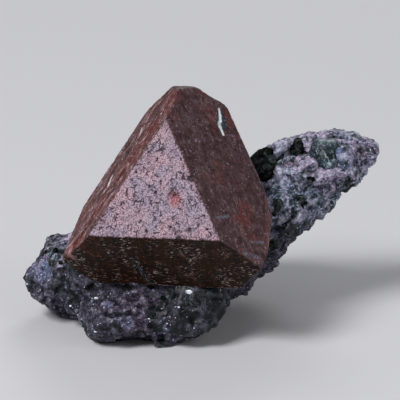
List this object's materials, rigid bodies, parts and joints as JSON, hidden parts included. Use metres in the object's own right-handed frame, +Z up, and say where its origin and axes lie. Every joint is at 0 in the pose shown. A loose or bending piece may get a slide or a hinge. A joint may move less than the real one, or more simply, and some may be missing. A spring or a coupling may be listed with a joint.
{
  "type": "zunyite in matrix",
  "caption": "Sharp brown tetrahedral zunyite crystal standing on a jagged piece of grey-lilac altered volcanic rock, resting on a flat trimmed base.",
  "frame": {"origin": "on the ground, under the middle of the specimen's box", "axes": "+Z up; +X along the specimen's length, towards the raised wing of rock; -Y towards the front, where the crystal shows its widest triangle"},
  "size_m": [0.036, 0.0254, 0.0245],
  "materials": {
    "zunyite": "satin, finely etched and striated, with frosted pink-grey triangles and darker brown bevels",
    "matrix_rock": "matt, sugary broken rock with dark glassy specks",
    "quartz": "glassy, dark green-grey, with shell-like breaks"
  },
  "bodies": {
    "root": {"zunyite_crystal": "zunyite", "rock_matrix": "matrix_rock", "quartz_grain_beside_crystal": "quartz", "quartz_grain_in_wing": "quartz", "quartz_grain_on_crest": "quartz"}
  },
  "joints": []
}
